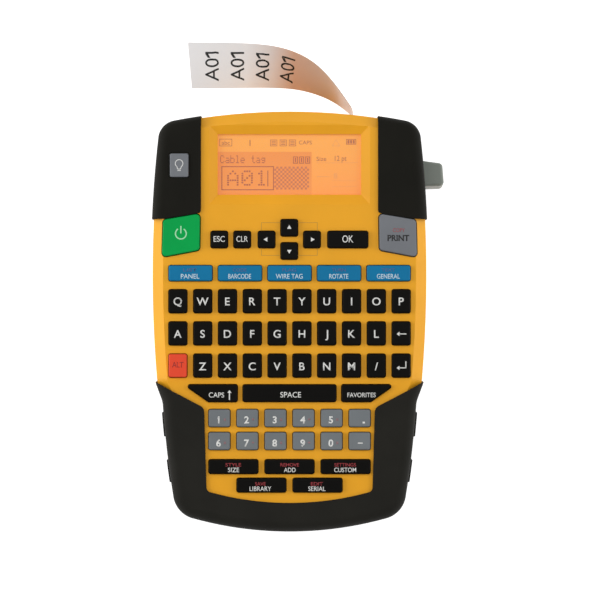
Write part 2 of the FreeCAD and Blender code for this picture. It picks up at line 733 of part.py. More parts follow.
def lever_spring():
    """The lever's torsion spring: a coil round the pivot post, below the lever's hub."""
    height = SPRING_COILS * SPRING_PITCH
    helix = Part.makeHelix(SPRING_PITCH, height, SPRING_RADIUS)
    circle = Part.Wire(Part.makeCircle(SPRING_WIRE, V(SPRING_RADIUS, 0, 0), V(0, 1, 0)))
    coil = Part.Wire(helix).makePipeShell([circle], True, True)
    coil.translate(V(PIVOT[0], PIVOT[1], LEVER_Z[0] - height - SPRING_WIRE - 0.3))
    return coil


# ---- label ---------------------------------------------------------------------------------------
# Stations along the label from the slot to its free end, face frame: its edge nearer the keyboard side
# (which ends up on top), then its other edge.
LABEL_BEND = (
    ((26.0, 88.3, -23.4), (26.1, 86.4, -42.4)),
    ((24.4, 91.0, -23.2), (25.2, 87.4, -41.8)),
    ((22.1, 94.3, -22.9), (23.2, 89.0, -41.0)),
    ((17.1, 100.8, -22.2), (19.6, 91.4, -38.4)),
    ((11.5, 106.4, -21.3), (14.6, 93.8, -35.4)),
    ((5.9, 110.1, -20.4), (8.0, 95.9, -33.0)),
    ((0.4, 112.4, -19.6), (1.6, 97.0, -30.6)),
    ((-5.2, 113.9, -18.9), (-4.4, 97.3, -28.2)),
    ((-16.0, 115.1, -17.6), (-15.4, 97.1, -23.7)),
    ((-27.0, 115.4, -16.5), (-26.4, 96.7, -19.9)),
    ((-42.2, 115.4, -15.2), (-40.6, 96.3, -15.9)),
)


STRIP_START = 69.1       # y of the label's cut end, just above the blade
STRAIGHT_Y = (STRIP_START, 73.5, 78.0, 82.0, 85.6)


def spline(points):
    curve = Part.BSplineCurve()
    curve.interpolate(Points=points)
    return curve.toShape()


def label_strip():
    """The printed label: straight through the slot, then curling left and turning to face front."""
    x = TAPE_X + TAPE_THICK / 2
    rims = []
    for side, z in ((0, TAPE_HIGH), (1, TAPE_LOW)):
        straight = [V(x, y, z) for y in STRAIGHT_Y]
        bend = [FACE.multVec(V(*station[side])) for station in LABEL_BEND]
        rims.append(Part.Wire(spline(straight + bend)))
    sheet = Part.makeLoft(rims, False, True)
    return sheet.makeOffsetShape(TAPE_THICK, 1e-3, fill=True)


# ---- display, keypad and board -------------------------------------------------------------------
MAT_W = (-7.0, -6.0)
BOARD_W = (-9.0, -7.4)
SHEET = [
    (-48.5, 45.5), (-48.5, 68.5), (-42.5, 72.0), (42.5, 72.0), (48.5, 68.5), (48.5, 45.5), (50.6, 44.0),
    (50.6, -20.0), (45.6, -31.0), (36.0, -34.6), (34.6, -69.0), (29.0, -70.9), (-29.0, -70.9),
    (-34.6, -69.0), (-36.0, -34.6), (-45.6, -31.0), (-50.6, -20.0), (-50.6, 44.0),
]


def keypad_mat():
    """The rubber sheet under the keys, with a low ring under each of them."""
    below_display = box(-BIG, BIG, -BIG, 46.0, -20.0, 5.0)
    sheet = prism(SHEET, *MAT_W).common(below_display)
    side = box(-49.0, -41.0, 57.0, 70.0, *MAT_W)
    bridge = box(-48.4, -41.0, 44.0, 58.0, *MAT_W)
    return fuse([sheet, side, bridge])


def main_board():
    """The circuit board with its processor, driver, crystal and connectors."""
    board = prism(SHEET, *BOARD_W)
    chips = [box(-12.0, 2.0, -4.0, 10.0, -10.4, -9.0), box(10.0, 20.0, -2.0, 5.0, -10.2, -9.0)]
    chips += [box(-30.0, -22.0, 52.0, 58.0, -10.2, -9.0), box(22.0, 30.0, 50.0, 56.0, -10.0, -9.0)]
    chips += [box(-32.0, -26.0, -12.0, -8.0, -10.6, -9.0)]
    return fuse([board] + chips)


def lcd_window():
    x0, x1, y0, y1 = LCD
    return box(x0 + 0.05, x1 - 0.05, y0 + 0.05, y1 - 0.05, -BEVEL_DEPTH - 1.2, -BEVEL_DEPTH - 0.1)


def lcd_module():
    """The display with its backlight frame, bonded behind the window."""
    frame = box(-34.0, 34.0, 49.0, 78.4, -6.9, -3.4)
    glass = box(-31.5, 31.5, 50.6, 77.8, -3.4, -3.1)
    return fuse([frame, glass])


# ---- batteries -----------------------------------------------------------------------------------
CELL_RADIUS = 7.1
CELL_PITCH = 14.5
CELL_Z = 10.6
CELL_ENDS = (-61.4, -11.9)
NUB = 1.0
CONTACT = 0.5            # thickness of a contact plate
CONTACT_GAP = 0.05
SPRING_FOOT = 4.6
SPRING_TIP = 3.0


def cells():
    """Six AA cells side by side, in turn nub up and nub down."""
    solids = []
    low, high = CELL_ENDS
    for index, x in enumerate(columns(6, CELL_PITCH)):
        body = Part.makeCylinder(CELL_RADIUS, high - low, V(x, low, CELL_Z), V(0, 1, 0))
        body = body.makeFillet(0.6, [e for e in body.Edges if e.Closed and len(e.Vertexes) == 1])
        end = high if index % 2 else low - NUB
        nub = Part.makeCylinder(2.75, NUB, V(x, end, CELL_Z), V(0, 1, 0))
        solids.append(fuse([body, nub]))
    return Part.makeCompound(solids)


def cone(x, span, start, end):
    """A cone along Y on a cell's axis, from radius start to radius end."""
    return Part.makeCone(start, end, span[1] - span[0], V(x, span[0], CELL_Z), V(0, 1, 0))


def contacts():
    """A plate at each end of each cell, with a cone spring's stack of rings at its negative end."""
    solids = []
    y0, y1 = BAY[2], BAY[3]
    low, high = CELL_ENDS
    for index, x in enumerate(columns(6, CELL_PITCH)):
        flat = ((y0, y0 + CONTACT), (y1 - CONTACT, y1))
        plates = [box(x - 5.0, x + 5.0, a, b, CELL_Z - 5.0, CELL_Z + 5.4) for a, b in flat]
        if index % 2:
            spring = cone(x, (y0 + CONTACT, low - CONTACT_GAP), SPRING_FOOT, SPRING_TIP)
            button = (high + NUB + CONTACT_GAP, y1 - CONTACT)
        else:
            spring = cone(x, (high + CONTACT_GAP, y1 - CONTACT), SPRING_TIP, SPRING_FOOT)
            button = (y0 + CONTACT, low - NUB - CONTACT_GAP)
        bump = Part.makeCylinder(2.4, button[1] - button[0], V(x, button[0], CELL_Z), V(0, 1, 0))
        solids.append(fuse([plates[0]] + ([spring] if index % 2 else [bump])))
        solids.append(fuse([plates[1]] + ([bump] if index % 2 else [spring])))
    return Part.makeCompound(solids)


def screws():
    """Four pan-head screws from the back into the front housing."""
    solids = []
    for x, y in SCREWS:
        head = rod(x, y, 0.5, HEAD_DEPTH, HEAD)
        shank = rod(x, y, HEAD_DEPTH, 36.0 + 0.07 * y, SHANK)
        socket = rod(x, y, 0.0, 1.4, 1.0)
        solids.append(fuse([head, shank]).cut(socket))
    return Part.makeCompound(solids)


# ---- assembly ------------------------------------------------------------------------------------
def build():
    blank = bumper_blank()
    core = rubber_core(BUMPER_PROUD + RUBBER)
    lower = lower_bumper(blank, core)
    left = upper_bumper(-1, blank, core)
    right = upper_bumper(1, blank, core)
    shell = housing_blank()
    room = cavity()
    add("front_housing", on_face(front_housing(shell, [lower, left, right], room)))
    add("back_housing", on_face(back_housing(shell, [lower, left, right], room)))
    light_hole = [key_hole(points, corner) for name, points, _, corner in KEYS if name == "backlight_key"]
    add("lower_bumper", on_face(lower))
    add("left_bumper", on_face(left.cut(light_hole)))
    add("right_bumper", on_face(right).cut(lever_window()))
    add_keys()
    add("lcd_window", on_face(lcd_window()))
    add("lcd_module", on_face(lcd_module()))
    add("keypad_mat", on_face(keypad_mat()))
    add("main_board", on_face(main_board()))
    add("cassette_door", door(*CASSETTE_DOOR))
    add("battery_door", door(*BATTERY_DOOR))
    add("battery_cells", cells())
    add("battery_contacts", contacts())
    add("cassette_shell", cassette_shell())
    add("tape_roll", spool(ROLL, ROLL_RADIUS, HUB + RUNNING))
    add("ribbon_supply_spool", spool(SUPPLY, SUPPLY_RADIUS, HUB + RUNNING))
    add("ribbon_takeup_spool", spool(TAKEUP, TAKEUP_RADIUS, 2.0))
    add("tape_lead", tape_lead())
    add_mechanism()
    add("cutter_lever", cutter_lever())
    add("blade_carrier", blade_carrier())
    add("cutter_blade", cutter_blade())
    add("lever_spring", lever_spring())
    add("label_strip", label_strip())
    add("housing_screws", screws())


def save():
    os.makedirs("parts", exist_ok=True)
    for name, shape in PARTS.items():
        shape.exportStep(f"parts/{name}.step")


if __name__ == "__main__":
    build()
    save()
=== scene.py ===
"""Looks of the handheld label maker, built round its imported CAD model.

Lengths are in millimetres until they reach a mesh, where MM turns them into metres. The face frame is
u right, v towards the tape exit, w out of the keyboard, with w = 0 on the yellow face. Pieces of the
face are drawn in it, and FACE puts them in the row frame.
"""

import math

import bmesh
import bpy
from mathutils import Matrix, Vector
from mathutils.bvhtree import BVHTree


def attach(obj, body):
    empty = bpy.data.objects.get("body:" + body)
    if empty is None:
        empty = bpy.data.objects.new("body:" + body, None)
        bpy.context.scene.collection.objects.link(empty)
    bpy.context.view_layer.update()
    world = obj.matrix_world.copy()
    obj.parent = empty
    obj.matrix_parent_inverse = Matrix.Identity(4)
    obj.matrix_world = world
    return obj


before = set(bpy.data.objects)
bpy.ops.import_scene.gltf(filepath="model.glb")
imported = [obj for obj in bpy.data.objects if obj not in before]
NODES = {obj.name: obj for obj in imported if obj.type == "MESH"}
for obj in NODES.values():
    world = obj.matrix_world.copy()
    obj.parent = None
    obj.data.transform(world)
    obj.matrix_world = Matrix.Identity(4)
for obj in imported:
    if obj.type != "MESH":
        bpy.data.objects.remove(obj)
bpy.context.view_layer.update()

MM = 0.001
FACE_TILT = math.radians(4.0)
FACE_HEIGHT = 42.0
FACE = (Matrix.Translation((0, 0, FACE_HEIGHT * MM)) @ Matrix.Rotation(FACE_TILT, 4, "X")
        @ Matrix.Scale(MM, 4))
KEY_TOP = 1.6            # w of an ordinary key's top
CORNER_KEY_TOP = 1.4
LIGHT_KEY_TOP = 2.0
DISPLAY_TOP = -3.1       # w of the display's glass
INK = 0.03               # thickness of printed ink


# ---- materials -----------------------------------------------------------------------------------
BLOTCH_SCALE = 60.0      # bumps per metre, as all scales of noise here
ROUGH_SPREAD = 0.06
BRUSH_SCALE = 900.0
BRUSH_DEPTH = 0.004
INK_SCALE = 4000.0
INK_WORN = 0.9
INK_ROUGH = 0.55
GLOW = 0.24              # strength of the display's backlight
GLOW_Y = (0.052, 0.077)  # metres, where the backlight's colour starts and ends
GLOW_ROUGH = 0.4
GLASS_SCALE = 300.0
GLASS_ALPHA = 0.03
GLASS_GLOSS = 0.15
GLASS_ROUGH = 0.06
TAPE_REFLECTION_X = (-0.018, 0.026)  # metres, where the painted warm reflection of the yellow housing on the label starts and stops growing
# The tape's own white, then the painted warm reflection of the yellow housing.
TAPE_AND_REFLECTION_COLOURS = ((0.0, "edebeb"), (0.22, "e0d7d4"), (0.45, "d0ab96"), (0.75, "c4b2a8"), (1.0, "ccbcb4"))
TAPE_SCALE = 700.0
TAPE_DEPTH = 0.004
TAPE_ROUGH = 0.32


def srgb(code):
    """A linear colour from a web colour, by the standard curve."""
    parts = [int(code[i:i + 2], 16) / 255 for i in (0, 2, 4)]
    return tuple(c / 12.92 if c <= 0.04045 else ((c + 0.055) / 1.055) ** 2.4 for c in parts) + (1.0,)


def start_material(name):
    made = bpy.data.materials.new(name)
    made.use_nodes = True
    tree = made.node_tree
    tree.nodes.clear()
    shader = tree.nodes.new("ShaderNodeBsdfPrincipled")
    output = tree.nodes.new("ShaderNodeOutputMaterial")
    tree.links.new(shader.outputs["BSDF"], output.inputs["Surface"])
    return made, tree, shader


def noise(tree, scale, detail=3.0, stretch=(1, 1, 1)):
    """Noise in the row frame."""
    place = tree.nodes.new("ShaderNodeTexCoord")
    mapping = tree.nodes.new("ShaderNodeMapping")
    mapping.inputs["Scale"].default_value = stretch
    texture = tree.nodes.new("ShaderNodeTexNoise")
    texture.inputs["Scale"].default_value = scale
    texture.inputs["Detail"].default_value = detail
    tree.links.new(place.outputs["Object"], mapping.inputs["Vector"])
    tree.links.new(mapping.outputs["Vector"], texture.inputs["Vector"])
    return texture.outputs["Fac"]


def along(tree, axis, low, high):
    """How far a point is from low to high along an axis of the row frame, in metres."""
    place = tree.nodes.new("ShaderNodeTexCoord")
    split = tree.nodes.new("ShaderNodeSeparateXYZ")
    level = tree.nodes.new("ShaderNodeMapRange")
    level.inputs["From Min"].default_value = low
    level.inputs["From Max"].default_value = high
    tree.links.new(place.outputs["Object"], split.inputs["Vector"])
    tree.links.new(split.outputs[axis], level.inputs["Value"])
    return level.outputs["Result"]


def ramp(tree, factor, stops):
    """A colour ramp. stops are (position, linear colour)."""
    node = tree.nodes.new("ShaderNodeValToRGB")
    elements = node.color_ramp.elements
    while len(elements) < len(stops):
        elements.new(0.5)
    for element, (position, colour) in zip(elements, stops):
        element.position = position
        element.color = colour
    tree.links.new(factor, node.inputs["Fac"])
    return node.outputs["Color"]


def spread(tree, factor, low, high):
    node = tree.nodes.new("ShaderNodeMapRange")
    node.inputs["To Min"].default_value = low
    node.inputs["To Max"].default_value = high
    tree.links.new(factor, node.inputs["Value"])
    return node.outputs["Result"]


def add_bump(tree, shader, factor, depth):
    """depth is in millimetres."""
    node = tree.nodes.new("ShaderNodeBump")
    node.inputs["Strength"].default_value = 1.0
    node.inputs["Distance"].default_value = depth * MM
    tree.links.new(factor, node.inputs["Height"])
    tree.links.new(node.outputs["Normal"], shader.inputs["Normal"])


def tinted(colour, amount):
    return tuple(min(1.0, c * amount) for c in colour[:3]) + (1.0,)


def moulded(name, code, rough, grain=1800.0, depth=0.012, mottle=0.06, gloss=0.5):
    """Moulded plastic or rubber: slow colour drift, a fine grain, and roughness that varies with it."""
    made, tree, shader = start_material(name)
    base = srgb(code)
    slow = noise(tree, BLOTCH_SCALE, 4.0)
    colour = ramp(tree, slow, [(0.3, tinted(base, 1 - mottle)), (0.7, tinted(base, 1 + mottle))])
    tree.links.new(colour, shader.inputs["Base Color"])
    fine = noise(tree, grain, 2.0)
    even = spread(tree, fine, rough - ROUGH_SPREAD, rough + ROUGH_SPREAD)
    tree.links.new(even, shader.inputs["Roughness"])
    add_bump(tree, shader, fine, depth)
    shader.inputs["Specular IOR Level"].default_value = gloss
    return made


def brushed(name, code, rough, direction, metallic=1.0):
    """Metal with fine lines along a direction."""
    made, tree, shader = start_material(name)
    base = srgb(code)
    lines = noise(tree, BRUSH_SCALE, 4.0, direction)
    colour = ramp(tree, lines, [(0.25, tinted(base, 0.82)), (0.75, tinted(base, 1.12))])
    tree.links.new(colour, shader.inputs["Base Color"])
    tree.links.new(spread(tree, lines, rough - 0.08, rough + 0.12), shader.inputs["Roughness"])
    add_bump(tree, shader, lines, BRUSH_DEPTH)
    shader.inputs["Metallic"].default_value = metallic
    return made


def printed(name, code):
    """Ink: nearly flat, a little uneven in tone."""
    made, tree, shader = start_material(name)
    base = srgb(code)
    colour = ramp(tree, noise(tree, INK_SCALE), [(0.3, tinted(base, INK_WORN)), (0.7, base)])
    tree.links.new(colour, shader.inputs["Base Color"])
    shader.inputs["Roughness"].default_value = INK_ROUGH
    return made


def glowing(name, near, far):
    """A backlit surface whose colour drifts from one web colour to another up the display."""
    made, tree, shader = start_material(name)
    colour = ramp(tree, along(tree, "Y", *GLOW_Y), [(0.0, srgb(near)), (1.0, srgb(far))])
    tree.links.new(colour, shader.inputs["Base Color"])
    tree.links.new(colour, shader.inputs["Emission Color"])
    shader.inputs["Emission Strength"].default_value = GLOW
    shader.inputs["Roughness"].default_value = GLOW_ROUGH
    return made


def window_glass():
    made, tree, shader = start_material("clear_window")
    colour = ramp(tree, noise(tree, GLASS_SCALE), [(0.3, srgb("f2f6f4")), (0.7, srgb("ffffff"))])
    tree.links.new(colour, shader.inputs["Base Color"])
    shader.inputs["Alpha"].default_value = GLASS_ALPHA
    shader.inputs["Specular IOR Level"].default_value = GLASS_GLOSS
    shader.inputs["Roughness"].default_value = GLASS_ROUGH
    return made


def tape_film():
    """White laminated tape, painted warmer where it turns away towards the yellow housing, as a stand-in
    for the housing's reflection on it.
    """
    made, tree, shader = start_material("white_tape")
    stops = [(position, srgb(code)) for position, code in TAPE_AND_REFLECTION_COLOURS]
    tree.links.new(ramp(tree, along(tree, "X", *TAPE_REFLECTION_X), stops), shader.inputs["Base Color"])
    add_bump(tree, shader, noise(tree, TAPE_SCALE), TAPE_DEPTH)
    shader.inputs["Roughness"].default_value = TAPE_ROUGH
    return made


def give(node, made):
    """Puts a material on a carried-over CAD node."""
    mesh = NODES[node].data
    mesh.materials.clear()
    mesh.materials.append(made)


YELLOW = moulded("yellow_shell", "f2aa22", 0.42, depth=0.010, mottle=0.03, gloss=0.22)
BLACK_RUBBER = moulded("black_rubber", "181712", 0.66, grain=2600.0, depth=0.03, mottle=0.12, gloss=0.10)
# The lower bumper is the same black rubber as the sides, painted lighter to stand in for the light that
# falls on it.
LIT_LOWER_RUBBER = moulded("lower_rubber_painted_lighter", "22211d", 0.66, grain=2600.0, depth=0.03, mottle=0.12, gloss=0.10)
BLACK_KEY = moulded("black_key", "0d0c0a", 0.42, grain=2200.0, depth=0.010, mottle=0.10, gloss=0.07)
GREEN_KEY = moulded("green_key", "00a34b", 0.45, gloss=0.10)
GREY_KEY = moulded("grey_key", "75787d", 0.5, gloss=0.25)
BLUE_KEY = moulded("blue_key", "0a74a2", 0.45, gloss=0.15)
RED_KEY = moulded("red_key", "ec4e32", 0.45, gloss=0.15)
NUMBER_KEY = moulded("number_key", "74797c", 0.48, gloss=0.2)
LEVER_GREY = moulded("lever_grey", "80867e", 0.42, gloss=0.3)
INK_WHITE = printed("ink_white", "e6e6e2")
INK_PALE = printed("ink_pale", "cfe3ee")
INK_BLACK = printed("ink_black", "1b1b1b")
INK_RED = printed("ink_red", "a5333a")
INK_LINE = printed("ink_line", "b98a35")


def dress_nodes():
    """Gives every CAD node its material. The keys that aren't listed are black."""
    looks = (
        (YELLOW, ("front_housing", "back_housing", "cassette_door", "battery_door")),
        (BLACK_RUBBER, ("left_bumper", "right_bumper")),
        (LIT_LOWER_RUBBER, ("lower_bumper",)),
        (GREEN_KEY, ("power_key",)),
        (GREY_KEY, ("print_key", "backlight_key")),
        (BLUE_KEY, tuple(f"function_key_{i}" for i in range(1, 6))),
        (RED_KEY, ("alt_key",)),
        (NUMBER_KEY, ("number_keys",)),
        (LEVER_GREY, ("cutter_lever",)),
        (window_glass(), ("lcd_window",)),
        (glowing("amber_display", "f29434", "f0a136"), ("lcd_module",)),
        (moulded("grey_silicone", "45474a", 0.6), ("keypad_mat",)),
        (moulded("green_board", "1d5c38", 0.4, grain=900.0), ("main_board",)),
        (moulded("dark_frame", "2d2e31", 0.5), ("chassis_plate",)),
        (moulded("cassette_grey", "56595c", 0.45), ("cassette_shell",)),
        (tape_film(), ("tape_roll", "tape_lead", "label_strip")),
        (moulded("black_ribbon", "18181b", 0.3), ("ribbon_supply_spool", "ribbon_takeup_spool")),
        (moulded("white_gear", "dcdcd6", 0.4), ("takeup_gear", "idler_gear", "platen_gear")),
        (brushed("brass_pinion", "c09a4f", 0.3, (1, 1, 8)), ("motor_pinion",)),
        (brushed("motor_can", "9c9c9f", 0.3, (1, 1, 8)), ("motor",)),
        (moulded("platen_rubber", "1e1e20", 0.7), ("platen_roller",)),
        (moulded("head_ceramic", "8a8a86", 0.5), ("print_head",)),
        (moulded("carrier_black", "222222", 0.45), ("blade_carrier",)),
        (brushed("blade_steel", "b4b6ba", 0.25, (1, 1, 6)), ("cutter_blade",)),
        (brushed("spring_steel", "8f8f92", 0.3, (1, 1, 1)), ("lever_spring",)),
        (brushed("contact_plate", "bdb7a5", 0.3, (1, 8, 1)), ("battery_contacts",)),
        (brushed("cell_wrap", "3a4150", 0.35, (8, 1, 8), 0.6), ("battery_cells",)),
        (brushed("screw_steel", "4a4a4c", 0.35, (1, 1, 1)), ("housing_screws",)),
    )
    chosen = {name: made for made, names in looks for name in names}
    for name in sorted(NODES):
        give(name, chosen.get(name, BLACK_KEY))


# ---- drawing on the face -------------------------------------------------------------------------
ARC_STEPS = 40
BOLD = 0.008             # how much a word's outline grows, at size 1
LETTER_BOLD = 0.013
HEAVY_BOLD = 0.03
FONT_STEPS = 6
STEM_WIDTH = 0.14        # at least the width of the bar that stands for a one, at size 1
FLAG = ((0.0, 0.0), (-0.2, -0.14), (-0.2, -0.27), (0.0, -0.15))


def prism(mesh, points, w0, w1):
    """Adds a flat shape with thickness to a bmesh, face frame."""
    low = [mesh.verts.new((u, v, w0)) for u, v in points]
    high = [mesh.verts.new((u, v, w1)) for u, v in points]
    mesh.faces.new(high)
    mesh.faces.new(list(reversed(low)))
    for i in range(len(points)):
        j = (i + 1) % len(points)
        mesh.faces.new((low[i], low[j], high[j], high[i]))


def bar(mesh, u0, u1, v0, v1, w0, w1):
    prism(mesh, [(u0, v0), (u1, v0), (u1, v1), (u0, v1)], w0, w1)


def stroke(mesh, a, b, thick, w0, w1):
    """A straight line of ink from a to b."""
    forward = (Vector(b) - Vector(a)).normalized() * thick / 2
    side = Vector((-forward.y, forward.x))
    a, b = Vector(a) - forward, Vector(b) + forward
    prism(mesh, [tuple(p) for p in (a - side, b - side, b + side, a + side)], w0, w1)


def bow(mesh, centre, radius, thick, sweep, w0, w1):
    """A line of ink along an arc. sweep is its two angles in degrees."""
    start, end = sweep
    angles = [math.radians(start + (end - start) * i / ARC_STEPS) for i in range(ARC_STEPS + 1)]
    rims = []
    for r in (radius - thick / 2, radius + thick / 2):
        rims.append([(centre[0] + r * math.cos(a), centre[1] + r * math.sin(a)) for a in angles])
    for i in range(ARC_STEPS):
        quad = [rims[0][i], rims[1][i], rims[1][i + 1], rims[0][i + 1]]
        prism(mesh, quad, w0, w1)


def frame_line(mesh, u0, u1, v0, v1, thick, w0, w1):
    corners = [(u0, v0), (u1, v0), (u1, v1), (u0, v1)]
    for i, corner in enumerate(corners):
        stroke(mesh, corner, corners[(i + 1) % 4], thick, w0, w1)


def letters(words, bold):
    """The built-in font's outlines for some words, as a flat mesh at size 1."""
    curve = bpy.data.curves.new("words", "FONT")
    curve.body = words
    curve.align_x = "CENTER"
    curve.offset = bold
    curve.resolution_u = FONT_STEPS
    holder = bpy.data.objects.new("words", curve)
    bpy.context.scene.collection.objects.link(holder)
    bpy.context.view_layer.update()
    shape = holder.evaluated_get(bpy.context.evaluated_depsgraph_get())
    mesh = bpy.data.meshes.new_from_object(shape)
    bpy.data.objects.remove(holder)
    bpy.data.curves.remove(curve)
    if words.endswith("1"):
        add_flag(mesh)
    return mesh


def add_flag(mesh):
    """Gives a final figure one, which is a plain bar in this font, its flag."""
    right = max(p.co.x for p in mesh.vertices)
    top = max(p.co.y for p in mesh.vertices)
    left = min(p.co.x for p in mesh.vertices if p.co.x > right - STEM_WIDTH)
    sheet = bmesh.new()
    sheet.from_mesh(mesh)
    sheet.faces.new([sheet.verts.new((left + x, top + y, 0)) for x, y in FLAG])
    bmesh.ops.recalc_face_normals(sheet, faces=sheet.faces)
    sheet.to_mesh(mesh)
    sheet.free()


def join(mesh, other):
    """Adds one bmesh to another and frees it."""
    step = bpy.data.meshes.new("step")
    other.to_mesh(step)
    other.free()
    mesh.from_mesh(step)
    bpy.data.meshes.remove(step)


def write(mesh, words, centre, cap, width=None, w=KEY_TOP, bold=BOLD, turn=0.0):
    """Words centred on a point of the face, with capitals cap high, squeezed to a width if one is given."""
    flat = letters(words, bold)
    xs = [p.co.x for p in flat.vertices]
    ys = [p.co.y for p in flat.vertices]
    tall = max(ys) - min(0.0, min(ys))
    across = cap / CAP_HEIGHT if width is None else width / (max(xs) - min(xs))
    sized = Matrix.Diagonal((across, cap / CAP_HEIGHT, 1, 1))
    middle = Vector(((max(xs) + min(xs)) / 2, min(tall, CAP_HEIGHT) / 2, 0))
    place = Matrix.Translation((centre[0], centre[1], w)) @ Matrix.Rotation(turn, 4, "Z") @ sized
    sheet = bmesh.new()
    sheet.from_mesh(flat)
    bpy.data.meshes.remove(flat)
    bmesh.ops.transform(sheet, matrix=place @ Matrix.Translation(-middle), verts=sheet.verts)
    grown = bmesh.ops.extrude_face_region(sheet, geom=sheet.faces)
    lifted = [g for g in grown["geom"] if isinstance(g, bmesh.types.BMVert)]
    bmesh.ops.translate(sheet, vec=(0, 0, INK), verts=lifted)
    join(mesh, sheet)


def cap_height():
    flat = letters("H", 0.0)
    tall = max(p.co.y for p in flat.vertices)
    bpy.data.meshes.remove(flat)
    return tall


CAP_HEIGHT = cap_height()


def finish_piece(name, mesh, made, body, place=FACE):
    """Turns a bmesh into a piece that rides on a body."""
    bmesh.ops.recalc_face_normals(mesh, faces=mesh.faces)
    bmesh.ops.transform(mesh, matrix=place, verts=mesh.verts)
    data = bpy.data.meshes.new(name)
    mesh.to_mesh(data)
    mesh.free()
    data.materials.append(made)
    piece = bpy.data.objects.new(name, data)
    bpy.context.scene.collection.objects.link(piece)
    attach(piece, body)


# ---- key legends ---------------------------------------------------------------------------------
KEY_INK = (KEY_TOP, KEY_TOP + INK)
LETTER_PITCH = 10.17
LETTER_MIDDLE = 4.5      # the column that would be at u = 0
LETTER_CAP = 3.1
# Rows of letters: v, the letters, and the column of the first.
LETTER_ROWS = {"letter_keys_upper": (8.0, "QWERTYUIOP", 0), "letter_keys_middle": (-5.3, "ASDFGHJKL", 0),
               "letter_keys_lower": (-18.6, "ZXCVBNM/", 1)}
LAST_COLUMN = 9
ARROW_REACH = 1.9        # half the length of the arrows on the last keys
ARROW_LINE = 0.4
ARROW_HEAD = 0.9
ARROW_TAPER = 1.3        # length of an arrow's head over its half width
RETURN_RISE, RETURN_DROP = 1.9, 0.6
NUMBER_PITCH = 11.5
NUMBER_MIDDLE = 2.5
NUMBER_ROWS = ((-40.5, "12345."), (-50.0, "67890-"))
NUMBER_CAP = 2.7
NUMBER_SHIFT = -0.3
SIGN_SHIFT = (2.3, 0.1)
SIGN_CAP = 1.6


def letter_u(column):
    return (column - LETTER_MIDDLE) * LETTER_PITCH


def letter_legends():
    for node, (v, row, first) in LETTER_ROWS.items():
        mesh = bmesh.new()
        for i, letter in enumerate(row):
            write(mesh, letter, (letter_u(i + first), v), LETTER_CAP, bold=LETTER_BOLD)
        right, left = letter_u(LAST_COLUMN) + ARROW_REACH, letter_u(LAST_COLUMN) - ARROW_REACH
        if node == "letter_keys_middle":
            arrow(mesh, (right, v), (left, v))
        if node == "letter_keys_lower":
            low = v - RETURN_DROP
            stroke(mesh, (right, v + RETURN_RISE), (right, low), ARROW_LINE, *KEY_INK)
            arrow(mesh, (right, low), (left, low))
        finish_piece(f"{node}_legends", mesh, INK_WHITE, f"{node}_body")


def arrow(mesh, tail, tip, thick=ARROW_LINE, head=ARROW_HEAD):
    """A line of ink with a solid head at its tip."""
    tail, tip = Vector(tail), Vector(tip)
    forward = (tip - tail).normalized()
    side = Vector((-forward.y, forward.x)) * head
    neck = tip - forward * head * ARROW_TAPER
    stroke(mesh, tail, neck, thick, *KEY_INK)
    prism(mesh, [tuple(p) for p in (neck - side, tip, neck + side)], *KEY_INK)


def number_legends():
    mesh = bmesh.new()
    marks = bmesh.new()
    for v, row in NUMBER_ROWS:
        for i, sign in enumerate(row):
            u = (i - NUMBER_MIDDLE) * NUMBER_PITCH
            if sign == ".":
                stroke(mesh, (u + 1.55, v - 1.1), (u + 1.75, v - 1.1), 0.75, *KEY_INK)
            elif sign == "-":
                stroke(mesh, (u - 0.5, v), (u + 1.0, v), 0.45, *KEY_INK)
            else:
                write(mesh, sign, (u + NUMBER_SHIFT, v), NUMBER_CAP, bold=HEAVY_BOLD)
                spot = (u + SIGN_SHIFT[0], v + SIGN_SHIFT[1])
                write(marks, "+" if i % 2 else "x", spot, SIGN_CAP)
    finish_piece("number_keys_legends", mesh, INK_WHITE, "number_keys_body")
    finish_piece("number_keys_marks", marks, printed("ink_faint_red", "9a6a6e"), "number_keys_body")


# Words on single keys: node, words, centre, height of capitals, width.
WORDS = (
    ("escape_key", "ESC", (-28.8, 33.6), 2.3, 4.6),
    ("clear_key", "CLR", (-19.4, 33.6), 2.3, 4.7),
    ("ok_key", "OK", (23.9, 33.6), 2.8, 4.5),
    ("space_key", "SPACE", (0.5, -30.2), 2.2, 8.5),
    ("favourites_key", "FAVORITES", (29.5, -30.3), 1.8, 11.6),
    ("size_key", "SIZE", (-22.9, -61.0), 1.8, 4.6),
    ("add_key", "ADD", (0.1, -61.0), 1.8, 4.8),
    ("custom_key", "CUSTOM", (22.8, -61.0), 1.8, 9.0),
    ("library_key", "LIBRARY", (-11.9, -68.7), 1.8, 8.9),
    ("serial_key", "SERIAL", (11.2, -68.7), 1.8, 7.1),
)
SECOND_CAP = 1.35
SECOND_WORDS = (
    ("size_key", "STYLE", (-23.0, -58.9), 6.4),
    ("add_key", "REMOVE", (0.1, -58.9), 7.6),
    ("custom_key", "SETTINGS", (22.8, -58.9), 8.8),
    ("library_key", "SAVE", (-11.9, -66.7), 4.3),
    ("serial_key", "EDIT", (11.2, -66.7), 4.9),
)
CAPS_WORD = ("CAPS", (-29.9, -30.3), 2.0, 6.3)
CAPS_ARROW = ((-24.6, -32.1), (-24.6, -28.3), 0.45, 0.85)
ALT_WORD = ("ALT", (letter_u(0), -17.9), 2.2, 4.6)
# The blue keys' words and their widths, and the fainter words above them.
FUNCTION_WORDS = (("PANEL", 7.6, "LIST"), ("BARCODE", 9.3, "CODE"), ("WIRE TAG", 11.0, "FLAG"),
                  ("ROTATE", 7.8, "TURN"), ("GENERAL", 9.4, "TEXT"))
FUNCTION_PITCH = 20.3
FUNCTION_SHIFT = -0.1
FUNCTION_V, FUNCTION_CAP = 18.3, 1.9
FAINT_V, FAINT_CAP, FAINT_WIDTH = 20.9, 1.3, 5.6
